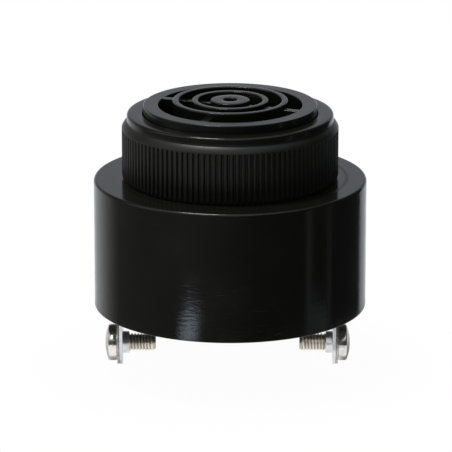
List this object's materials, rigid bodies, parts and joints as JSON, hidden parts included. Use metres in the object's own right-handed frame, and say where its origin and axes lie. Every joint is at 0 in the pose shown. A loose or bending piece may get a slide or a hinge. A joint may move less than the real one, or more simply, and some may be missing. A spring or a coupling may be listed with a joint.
{
  "type": "panel-mount piezo buzzer",
  "caption": "Round black alarm buzzer for a panel hole: threaded neck with a ring grille, knurled ring nut that clamps the panel, and a screw terminal on each side below.",
  "frame": {"origin": "middle of the shoulder that seats on the back of the panel", "axes": "+Z along the neck towards the grille, terminal screws along X"},
  "size_m": [0.0432, 0.0432, 0.0437],
  "materials": {
    "housing_plastic": "glossy black moulding with light scuffs",
    "nut_plastic": "satin black moulding",
    "plate_plastic": "satin black moulding",
    "inner_plastic": "matt dark grey moulding",
    "gasket_rubber": "soft foam",
    "diaphragm_brass": "rolled sheet",
    "piezo_ceramic": "fired matt ceramic",
    "electrode_silver": "printed silver",
    "board_green": "green solder resist",
    "ferrite": "sintered dark grey",
    "copper_wire": "lacquered wire",
    "chip_epoxy": "moulded black epoxy",
    "chip_dark": "glazed black with tinned ends",
    "chip_tan": "tan ceramic with tinned ends",
    "lead_red": "red insulation",
    "lead_black": "black insulation",
    "lead_white": "white insulation",
    "terminal_tin": "tin-plated strip",
    "washer_nickel": "nickel plate",
    "screw_nickel": "bright nickel plate"
  },
  "bodies": {
    "can": {"housing": "housing_plastic", "diaphragm_gasket": "gasket_rubber", "brass_diaphragm": "diaphragm_brass", "piezo_ceramic": "piezo_ceramic", "silver_electrode": "electrode_silver", "retainer_ring": "inner_plastic", "circuit_board": "board_green", "choke_core": "ferrite", "choke_winding": "copper_wire", "transistor": "chip_epoxy", "diode": "chip_epoxy", "drive_resistor": "chip_dark", "bias_resistor": "chip_dark", "capacitor": "chip_tan", "drive_lead": "lead_red", "ground_lead": "lead_black", "feedback_lead": "lead_white", "back_plate": "plate_plastic", "left_terminal": "terminal_tin", "right_terminal": "terminal_tin"},
    "ring_nut": {"ring_nut": "nut_plastic"},
    "left_screw": {"left_terminal_screw": "screw_nickel", "left_lock_washer": "washer_nickel"},
    "right_screw": {"right_terminal_screw": "screw_nickel", "right_lock_washer": "washer_nickel"}
  },
  "joints": [
    {"name": "nut_unscrew", "type": "slide", "parent": "can", "child": "ring_nut", "axis": [0, 0, 1], "range_m": [0, 0.0135]},
    {"name": "left_screw_out", "type": "slide", "parent": "can", "child": "left_screw", "axis": [-1, 0, 0], "range_m": [0, 0.004]},
    {"name": "right_screw_out", "type": "slide", "parent": "can", "child": "right_screw", "axis": [1, 0, 0], "range_m": [0, 0.004]}
  ]
}
